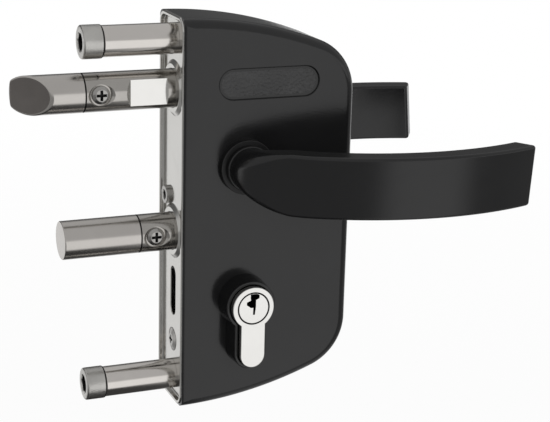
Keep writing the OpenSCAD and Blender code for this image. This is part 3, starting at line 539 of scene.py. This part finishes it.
def bolt_bar(name, z, seam, end):
    """A bar with eased ends, and painted shade on its chamfer at the seam with the tip."""
    skin = Skin()
    eased_r = bolt_r - bolt_edge
    rings = turned(skin, (0, z), [(bolt_edge - seam, bolt_r), (end - bolt_edge, bolt_r), (end, eased_r)])
    foot = turned(skin, (0, z), [(-seam, eased_r), (bolt_edge - seam, bolt_r)], finish=1)
    skin.cap(foot[0])
    skin.cap(rings[-1])
    return skin.piece(name, bar_steel, shadowed_steel)


def prism(name, outline, low, high, *finishes, along="y"):
    """A plain block to cut with, on an outline of (x, z) or of (x, y)."""
    skin = Skin()
    rings = skin.stack([skin.ring(at_y(outline, at) if along == "y" else [(x, y, at) for x, y in outline])
                        for at in (low, high)])
    skin.cap(rings[0])
    skin.cap(rings[1])
    return skin.piece(name, *finishes)


def box(name, x, y, z):
    """A square block to cut with, between two limits each way."""
    return prism(name, [(x[0], z[0]), (x[1], z[0]), (x[1], z[1]), (x[0], z[1])], *y)


head_bore_r, head_bore_t, mouth_flare = 4.1, 1.9, 5.2


def head_bore(x, z):
    """The countersunk seat of a tip screw."""
    flare = mouth_flare - head_bore_r
    line = [(-bolt_r - over, mouth_flare + over), (-bolt_r + flare, head_bore_r), (head_bore_t - bolt_r, head_bore_r)]
    return rod("seat", (x, z), line, along="y", steps=small_steps)


arm_x, arm_slot, arm_half, arm_top = 16.36, 3.95, 3.2, 0.5
spring_bore_x, spring_bore_r = 23.5, 4.6
bar = bolt_bar("latch_bolt_bar", latch_z, latch_seam, latch_end)
clear_r = bolt_r + over
milled = [(flat_x0 - runout, -clear_r), (flat_x0, -flat_y), (flat_x1, -flat_y), (flat_x1, -clear_r)]
cut(bar, prism("flat", milled, latch_z - clear_r, latch_z + clear_r, milled_steel, along="z"),
    head_bore(screw_back - latch_seam, latch_z),
    box("arm_slot", (arm_x - arm_slot, arm_x + arm_slot), (-arm_half, arm_half),
        (latch_z - clear_r, latch_z + arm_top)),
    rod("spring_bore", (0, latch_z), [(spring_bore_x, spring_bore_r), (latch_end + over, spring_bore_r)]))
fit(bar, "latch", "bolt_stainless", "latch_bar")

tip = Skin()
tip_steps, tip_edge, bevel_edge, bevel_y = 96, 0.7, 0.84, 5.3


def tip_ring(r, inward):
    """A ring round the tip's bevelled end, drawn in from it."""
    points = []
    for y, z in arc(0, 0, r, 0, 360, tip_steps)[:-1]:
        points.append((-latch_out + max(0, bevel_y - y) + inward, y, latch_z + z))
    return tip.ring(points)


# the tip's chamfer at the seam with the bar is painted in shade, as on the bar
rings = turned(tip, (0, latch_z), [(-latch_seam, bolt_r - bolt_edge), (-latch_seam - bolt_edge, bolt_r)],
               steps=tip_steps, finish=2)
tip.cap(rings[0])
ends = [tip_ring(bolt_r - tip_edge * (1 - cos(bend)), bevel_edge * (1 - sin(bend))) for bend in bends[::2]]
tip.stack(rings[1:] + ends)
bevel = ends[-1]
for i in range(tip_steps // 2):
    tip.bm.faces.new(dict.fromkeys((bevel[i], bevel[i + 1], bevel[-i - 1], bevel[-i]))).material_index = 1
fit(tip.piece("latch_bolt_tip", bolt_steel, bevel_steel, shadowed_steel), "latch", "bolt_stainless", "latch_tip")

tip_screw_in, tip_face_r, tip_head_r, tip_thread_r = 0.3, 2.3, 3.5, 1.5
tip_dome_t, tip_head_t, tip_head_edges = 0.8, 1.6, (0.8, 0.3)
tip_cross_l, tip_cross_w = 4.4, 1.0


def tip_screw(name, x, z):
    """A pan head with a cross recess, sunk in its seat."""
    face = tip_screw_in - bolt_r
    dome, foot = face + tip_dome_t, face + tip_head_t
    line = eased([(face, small_end_r), (face, tip_face_r), (dome, tip_head_r), (foot, tip_head_r), (foot, tip_thread_r),
                  (0, tip_thread_r), (0, small_end_r)], (*tip_head_edges, 0, 0, 0))
    screw = rod(name, (x, z), line, bright_screw, along="y", steps=small_steps)
    cut(screw, *cross_tool((x, z), face, "y", tip_cross_l, tip_cross_w, shadowed_steel))
    return screw


fit(tip_screw("latch_cross_screw", screw_back - latch_seam, latch_z), "latch", "screw_steel", "latch_tip_screw")

# Deadbolt: a round stainless bar with a square-cut tip, which the key throws into the keep.
# Its far end is slotted for the steel tail plate that the cam drives.
dead_out, dead_seam, dead_edge, dead_end = 43.8, 13.6, 0.5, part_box("deadbolt_bar")[1].x / MM
tail_x, tail_slot, tail_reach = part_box("deadbolt_tail")[0].x / MM, 2.55, 9
bar = bolt_bar("deadbolt_bolt_bar", dead_z, dead_seam, dead_end)
cut(bar, head_bore(screw_back - dead_seam, dead_z),
    box("tail_slot", (tail_x - gap, dead_end + over), (-tail_slot, tail_slot),
        (dead_z - tail_reach, dead_z + tail_reach)))
fit(bar, "deadbolt", "bolt_stainless", "deadbolt_bar")
line = eased([(-dead_out, end_r), (-dead_out, bolt_r), (-dead_seam - bolt_edge, bolt_r),
              (-dead_seam, bolt_r - bolt_edge), (-dead_seam, end_r)], (dead_edge, 0, 0))
fit(rod("deadbolt_bolt_tip", (0, dead_z), line, bolt_steel), "deadbolt", "bolt_stainless", "deadbolt_tip")
fit(tip_screw("deadbolt_cross_screw", screw_back - dead_seam, dead_z), "deadbolt", "screw_steel",
    "deadbolt_tip_screw")

# Lever bushes: black moulded rings, pressed into both faces of the case.
# The necks of the levers turn in them, and a thin flange covers the edge of the hole.
moulded_black = black_coat("moulded_black", (0.004, 0.004, 0.0042), (0.007, 0.007, 0.0072), 2600, 0.15, 0.38, 0.48)
journal_r, flange_r, flange_t, flange_edges, bush_out_r = 8, 10.7, 2.5, (0.1, 0.25), 10
for name, node, side in (("front_lever_ring", "front_lever_bush", -1), ("rear_lever_ring", "rear_lever_bush", 1)):
    bush = Skin()
    line = eased([(inner_d, journal_r + run), (inner_d, bush_out_r), (half_d, bush_out_r), (half_d, flange_r),
                  (half_d + flange_t, flange_r), (half_d + flange_t, journal_r + run)], (0, 0, *flange_edges))
    turned(bush, (backset, lever_z), [(side * y, r) for y, r in line], along="y", shut=True)
    fit(bush.piece(name, moulded_black), "case", "lever_bush", node)

# Levers: cast in light alloy and coated black, one on each face, held on the square spindle by a set screw.
# A round neck rises from the bush, flares round an elbow and runs into a flat bowed grip, cut askew at its end.
lever_coat = black_coat("lever_coat", (0.005, 0.005, 0.0053), (0.008, 0.008, 0.0083), 1700, 0.1, 0.16, 0.26)
neck_y, neck_l, neck_r, neck_top_r, neck_edges, neck_up = half_d + 2.7, 2.5, 9, 8.3, (0.4, 0.5), 0.5
journal_end, set_in, set_y, set_r = 12.45, 4, neck_y + 6.5, 2.45
grip_h, grip_t, grip_edge, grip_l, grip_off, grip_drop, bow_r = 24, 9.5, 1.3, 102.5, 44.2, 2, 110
end_skew, end_lean, skew_rate, end_round = tan(radians(13)), tan(radians(4.5)), 4, 0.9
elbow_l, elbow_full, flare_end, thin_end, flat_min = 18, 0.82, 0.8, 0.8, 0.05
bow_x, bow_y, bow_mid = backset + 68.5, bow_r - half_d - grip_off, bow_r - grip_t / 2
end_x = backset + grip_l


def bow(x):
    """Where the grip's middle line is, and which way it heads."""
    rise = asin((x - bow_x) / bow_mid)
    return Vector((x, bow_y - bow_mid * cos(rise))), Vector((cos(rise), sin(rise)))


def ease(t):
    """A share from 0 to 1 that starts and ends gently."""
    k = min(max(t, 0), 1)
    return k * k * (3 - 2 * k)


def grip_ring(middle, heading, a, b, r, drop, askew=0):
    """A rectangle with round corners across the grip, half sizes a and b, below the axis and askew at the end."""
    points = []
    for s, t, start in ((1, 1, 0), (-1, 1, 90), (-1, -1, 180), (1, -1, 270)):
        for u, w in arc(s * (a - r), t * (b - r), r, start, start + 90, 8):
            k = askew * (u * end_skew + w * end_lean)
            points.append((middle.x + u * heading.y + k * heading.x, middle.y - u * heading.x + k * heading.y,
                           lever_z - drop + w))
    return points


def neck_ring(middle, heading, t):
    """A ring on the elbow, between the round neck and the flat grip."""
    a = neck_top_r + (grip_t / 2 - neck_top_r) * ease(t / thin_end)
    b = neck_top_r + (grip_h / 2 - neck_top_r) * min(t / flare_end, 1)
    r = neck_top_r + (grip_edge - neck_top_r) * ease(t / flare_end)
    return grip_ring(middle, heading, a, b, min(r, min(a, b) - flat_min), grip_drop * ease(t))


outward = Vector((0, -1))
collar = eased([(journal_end, journal_r), (neck_y, journal_r), (neck_y, neck_r), (neck_y + neck_l, neck_r),
                (neck_y + neck_l, neck_top_r)], (0, *neck_edges), 4)
lever_rings = [grip_ring(Vector((backset, -y)), outward, r, r, r - flat_min, 0) for y, r in collar]
elbow_in = Vector((backset, -neck_y - neck_l - neck_up))
elbow_end, elbow_turn = bow(backset + elbow_l)
elbow_knee = Vector((backset, elbow_end.y - elbow_l * elbow_turn.y / elbow_turn.x))
knee_in, knee_out = elbow_in.lerp(elbow_knee, elbow_full), elbow_end.lerp(elbow_knee, elbow_full)
elbow_steps, bow_steps, round_steps = 28, 36, 6
for i in range(elbow_steps + 1):
    t = i / elbow_steps
    near, far = (1 - t) ** 2, t * t
    middle = (1 - t) * near * elbow_in + 3 * t * near * knee_in + 3 * (1 - t) * far * knee_out + t * far * elbow_end
    heading = near * (knee_in - elbow_in) + 2 * t * (1 - t) * (knee_out - knee_in) + far * (elbow_end - knee_out)
    lever_rings.append(neck_ring(middle, heading.normalized(), t))
for i in range(1, bow_steps + 1):
    x = elbow_end.x + (end_x - grip_edge - elbow_end.x) * i / bow_steps
    askew = ease(1 - (1 - i / bow_steps) * skew_rate)
    lever_rings.append(grip_ring(*bow(x), grip_t / 2, grip_h / 2, grip_edge, grip_drop, askew))
for i in range(1, round_steps + 1):
    bend = radians(90 * i / round_steps)
    inward = grip_edge * (1 - cos(bend)) * end_round
    lever_rings.append(grip_ring(*bow(end_x - grip_edge * (1 - sin(bend))), grip_t / 2 - inward,
                                 grip_h / 2 - inward, grip_edge - inward, grip_drop, 1))
for name, node, side in (("front_lever_casting", "front_lever", 1), ("rear_lever_casting", "rear_lever", -1)):
    skin = Skin()
    rings = skin.stack([skin.ring([(x, side * y, lever_z + side * (z - lever_z)) for x, y, z in ring])
                        for ring in lever_rings])
    skin.cap(rings[0])
    skin.cap(rings[-1])
    lever = skin.piece(name, lever_coat)
    hole = Skin()
    drilled = circle(backset, -side * set_y, set_r, 40)(0)
    ends = hole.stack([hole.ring([(x, y, lever_z - side * down) for x, y in drilled]) for down in (grip_h, set_in)])
    hole.cap(ends[0])
    hole.cap(ends[1])
    cut(lever, hole.piece("set_screw_hole"))
    fit(lever, "levers", "black_coated_lever", node)

# Cylinder: the standard profile, in nickel-plated brass, polished on its faces.
# A gap across its middle holds the cam, and the bore takes a plug from each end.
nickel_plate = bare_metal("nickel_plate", (0.8, 0.79, 0.765), (0.88, 0.87, 0.845), 0.12, 0.22, (1, 1, 1), 800, 0.05)
cyl_half, cyl_edge, face_in, plug_r, cam_gap, cam_r, web_z = 27, 0.3, 0.6, 6.6, 6.3, 15, 15.6
cylinder = Skin()
edge_line = eased([(-face_in, -cyl_half), (0, -cyl_half), (0, cyl_half), (-face_in, cyl_half)], (cyl_edge, cyl_edge))
barrel = cylinder.stack([cylinder.ring(at_y(euro(grow), y)) for grow, y in edge_line])
bore_line = [(-cyl_half, plug_r + run), (cyl_half, plug_r + run)]
# the bore wall is painted in shade, and shows as a dark ring round each plug
bore = turned(cylinder, (backset, cyl_z), bore_line, along="y", finish=1)
cylinder.fill(barrel[0], bore[0])
cylinder.fill(barrel[-1], bore[-1])
body = cylinder.piece("profile_cylinder", nickel_plate, shadowed_steel)
cut(body, box("cam_gap", (backset - cam_r, backset + cam_r), (-cam_gap, cam_gap), (cyl_z - web_z, cyl_z + cam_r)))
fit(body, "case", "plated_brass", "cylinder_body")

# Plugs: turned brass, plated, with a crooked keyway from the face inwards and a neck for a clip at the far end.
# A dark ring of painted shade shows round each one, in the groove where its edge is relieved, and the keyway's walls
# and floor are painted in shade too.
relief_r, relief_t, plug_edge, neck_plug_r, plug_end, neck_end = 6.05, 0.9, 0.1, 4.5, 5.2, 0.6
key_depth = 20
keyway = [(-1.3, 5.9), (1.5, 5.9), (2.3, 5.2), (2.3, 4), (0.9, 3.4), (0.9, 0.6), (0.5, -2.6), (-0.3, -2.6),
          (-0.2, 0.3), (-1.2, 0.3), (-2.9, 1.6), (-2.9, 2.7), (-1.2, 3.4), (-1.4, 4.4)]
for name, node, body, side in (("front_plug_turning", "front_plug", "front_plug", -1),
                               ("rear_plug_turning", "rear_plug", "rear_plug", 1)):
    plug = Skin()
    relief_y = cyl_half - relief_t
    line = eased([(cyl_half, relief_r - face_in), (cyl_half, relief_r), (relief_y, relief_r)], (plug_edge,))
    face = turned(plug, (backset, cyl_z), [(side * y, r) for y, r in line], along="y")
    line = [(relief_y, plug_r), (plug_end, plug_r), (plug_end, neck_plug_r), (neck_end, neck_plug_r)]
    shank = turned(plug, (backset, cyl_z), [(side * y, r) for y, r in line], along="y")
    plug.strip(face[-1], shank[0], 1)
    plug.cap(shank[-1])
    keys = [(backset + x, cyl_z + z) for x, z in (keyway if side < 0 else [(-x, z) for x, z in keyway])]
    walls = [plug.ring(at_y(keys, side * (cyl_half - down))) for down in (0, key_depth)]
    plug.strip(*walls, 1)
    plug.cap(walls[1], 1)
    plug.fill(face[0], walls[0])
    fit(plug.piece(name, nickel_plate, shadowed_steel), body, "plated_brass", node)

# Latch spring: a coil of spring wire in the latch bar's bore that pushes the bolt out, closed at both ends.
# It stands on the stop plate.
spring_wire = bare_metal("spring_wire", (0.46, 0.46, 0.45), (0.6, 0.6, 0.58), 0.25, 0.4, (1, 1, 1), 1500, 0.15)
stop_x, latch_travel, coil_gap = 61.5, 18.28, 0.3
coil_r, wire_r, turns, turn_steps, wire_steps, end_pitch = 3.6, 0.45, 12, 28, 12, 1.0
coil_start, coil_stop = spring_bore_x + coil_gap + wire_r, stop_x - coil_gap - wire_r
open_pitch = (coil_stop - coil_start - 2 * end_pitch) / (turns - 2)


def coil_place(turn):
    """How far along the spring a turn is: tight in the first and the last one."""
    middle = min(max(turn - 1, 0), turns - 2)
    return coil_start + middle * open_pitch + (turn - middle) * end_pitch


spring = Skin()
coils = []
for i in range(turns * turn_steps + 1):
    a = 2 * pi * i / turn_steps
    section = arc(coil_r, coil_place(i / turn_steps), wire_r, 0, 360, wire_steps)[:-1]
    coils.append(spring.ring([(x, r * sin(a), latch_z + r * cos(a)) for r, x in section]))
spring.stack(coils)
spring.cap(coils[0])
spring.cap(coils[-1])
coil_spring = spring.piece("latch_coil_spring", spring_wire)
fit(coil_spring, "case", "spring_steel", "latch_spring")
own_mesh(coil_spring)

# Inner works: the frame plates, posts and mechanism in zinc-plated steel, the other springs, and the brass pins.
# They are stamped, turned or wound, and held on the frame inside the case.
# They keep the forms of their nodes and get the finish of their slot.
zinc_steel = bare_metal("zinc_steel", (0.42, 0.43, 0.44), (0.54, 0.55, 0.56), 0.28, 0.42, (1, 1, 5), 700, 0.2)
pin_brass = bare_metal("pin_brass", (0.5, 0.36, 0.15), (0.62, 0.46, 0.22), 0.22, 0.36, (1, 1, 4), 1200, 0.15)
black_screw = bare_metal("black_screw", (0.05, 0.05, 0.052), (0.09, 0.09, 0.093), 0.35, 0.5, (1, 1, 1), 1400, 0.25)
finishes = {"inner_steel": zinc_steel, "spring_steel": spring_wire, "pin_brass": pin_brass,
            "plated_brass": nickel_plate, "screw_steel": black_screw}
for subpart in frame["record"]["subparts"]:
    shown = frame["nodes"][subpart["node"]]
    if subpart["material_slot"] in finishes:
        shown.data.materials.clear()
        shown.data.materials.append(finishes[subpart["material_slot"]])

# Studio: a pale floor below the part, a white surround and one large soft lamp in front.
# Reflections see a white sheet in front of the part, painted as glow on the floor and in the world, and painted shade
# on the floor close below it, so that the metal has shape.
FLOOR_Z = -0.4
WHITE = (1, 1, 1, 1)
floor_half, surround_level, rear_level = 6000, (0.55, 0.55, 0.55), (0.13, 0.13, 0.13)
sheet_depth, sheet_left, sheet_right = (-0.3, -0.42), (-0.15, 0.05), (0.95, 0.6)
behind, behind_level, outer_ring, outer_level = (0.25, 0.6), 0.85, (0.5, 0.66), 0.3
under_case, under_levels, clear_ring, clear_levels = (0.1, 0.15), (0.05, 0.55), (0.7, 2.0), (0.94, 1.0)
rear_way, rear_height, front_way, front_height = (0.2, 0.5), (0.6, 0.4), (-0.3, -0.5), (0.2, 0.08)
pale = Skin()
pale.cap(pale.ring([(x * floor_half, y * floor_half, FLOOR_Z / MM) for x, y in ((1, 1), (-1, 1), (-1, -1), (1, -1))]))


def fade(tree, value, start, end):
    """A mask that rises from start to end."""
    return wire(tree, "MapRange", {"Value": value, "From Min": start, "From Max": end}).outputs["Result"]


def maths(tree, operation, *values):
    return wire(tree, "Math", dict(enumerate(values)), operation=operation).outputs[0]


def mixed_tone(tree, mask, one, other):
    return wire(tree, "Mix", {0: mask, 6: one, 7: other}, data_type="RGBA").outputs[2]


floor_with_painted_light, tree, shader = material("floor_with_painted_light")
shader.inputs["Roughness"].default_value = 0.9
shader.inputs["Specular IOR Level"].default_value = 0.0
tone = wire(tree, "TexNoise", {"Scale": 6.0, "Detail": 2.0}).outputs["Fac"]
tree.links.new(between(tree, tone, (0.8, 0.8, 0.8), (0.84, 0.84, 0.84)), shader.inputs["Base Color"])
light_path = wire(tree, "LightPath").outputs
here = wire(tree, "TexCoord").outputs["Object"]
across, depth = wire(tree, "SeparateXYZ", {0: here}).outputs[:2]
slant = maths(tree, "DIVIDE", across, maths(tree, "MULTIPLY", depth, -1.0))
# painted reflection: for reflected rays the floor glows as a white sheet in front of the part, and brightly behind it
ahead = maths(tree, "MULTIPLY", fade(tree, depth, *sheet_depth), fade(tree, slant, *sheet_left))
ahead = maths(tree, "MULTIPLY", ahead, fade(tree, slant, *sheet_right))
lit = maths(tree, "MAXIMUM", ahead, maths(tree, "MULTIPLY", fade(tree, depth, *behind), behind_level))
far_off = wire(tree, "VectorMath", {0: here}, operation="LENGTH").outputs["Value"]
# painted shade: for reflected rays the floor glows only dimly close below the case, as a shadow seen in the metal
near = spread(tree, fade(tree, across, *under_case), *under_levels)
lit = maths(tree, "MAXIMUM", lit, spread(tree, fade(tree, far_off, *outer_ring), near, outer_level))
camera_ray = light_path["Is Camera Ray"]
glow = wire(tree, "Emission", {"Strength": maths(tree, "MAXIMUM", lit, camera_ray)})
clear = spread(tree, fade(tree, far_off, *clear_ring), *clear_levels)
lift = maths(tree, "MAXIMUM", light_path["Is Glossy Ray"], maths(tree, "MULTIPLY", camera_ray, clear))
mixed = wire(tree, "MixShader", {0: lift, 1: shader.outputs["BSDF"], 2: glow.outputs["Emission"]})
tree.links.new(mixed.outputs["Shader"], tree.nodes["Material Output"].inputs["Surface"])
floor = pale.piece("studio_floor", floor_with_painted_light)

world = bpy.data.worlds.new("studio")
bpy.context.scene.world = world
world.use_nodes = True
tree = world.node_tree
rays = wire(tree, "LightPath").outputs
toward_x, toward_y, toward_z = wire(tree, "SeparateXYZ", {0: wire(tree, "TexCoord").outputs["Generated"]}).outputs
back_low = maths(tree, "MULTIPLY", fade(tree, toward_y, *rear_way), fade(tree, toward_z, *rear_height))
front_low = maths(tree, "MULTIPLY", fade(tree, toward_y, *front_way), fade(tree, toward_z, *front_height))
front_low = maths(tree, "MULTIPLY", front_low, fade(tree, toward_x, *sheet_left))
around = mixed_tone(tree, front_low, between(tree, back_low, surround_level, rear_level), WHITE)
mirrored = mixed_tone(tree, rays["Is Glossy Ray"], (*surround_level, 1), around)
seen = maths(tree, "MAXIMUM", rays["Is Camera Ray"], rays["Is Transmission Ray"])
tree.links.new(mixed_tone(tree, seen, mirrored, WHITE), tree.nodes["Background"].inputs["Color"])

lamp_place, lamp_aim = Vector((0.15, -1.0, 0.3)), Vector((0.03, 0, 0))
lamp = bpy.data.lights.new("front", "AREA")
lamp.shape = "DISK"
lamp.size = 0.6
lamp.energy = 4.0
soft_lamp = bpy.data.objects.new("front", lamp)
bpy.context.scene.collection.objects.link(soft_lamp)
soft_lamp.location = lamp_place
soft_lamp.rotation_euler = (lamp_aim - lamp_place).to_track_quat("-Z", "Y").to_euler()
soft_lamp.visible_glossy = False

# Camera: fitted to the outlines of the case, forend, bars and cylinder in the photograph.
# It stands left of the front face and above it, and is turned a little about its own axis.
image_w, focal_px, sensor = 550, 1513.4, 36
azimuth, elevation, roll, distance = radians(-22.477), radians(16.35), radians(1.52), 0.6088
target = Vector((0.044475, 0, -0.003857))
back = Vector((sin(azimuth) * cos(elevation), -cos(azimuth) * cos(elevation), sin(elevation)))
right = Vector((cos(azimuth), sin(azimuth), 0))
up = back.cross(right)
level_right = right * cos(roll) + up * sin(roll)
level_up = up * cos(roll) - right * sin(roll)
camera = bpy.data.cameras.new("camera")
camera.sensor_width = sensor
camera.sensor_fit = "HORIZONTAL"
camera.lens = focal_px / image_w * sensor
viewer = bpy.data.objects.new("camera", camera)
bpy.context.scene.collection.objects.link(viewer)
viewer.matrix_world = Matrix.Translation(target + back * distance) @ Matrix(
    (level_right, level_up, back)).transposed().to_4x4()
bpy.context.scene.camera = viewer
bpy.context.scene.view_settings.view_transform = "Standard"
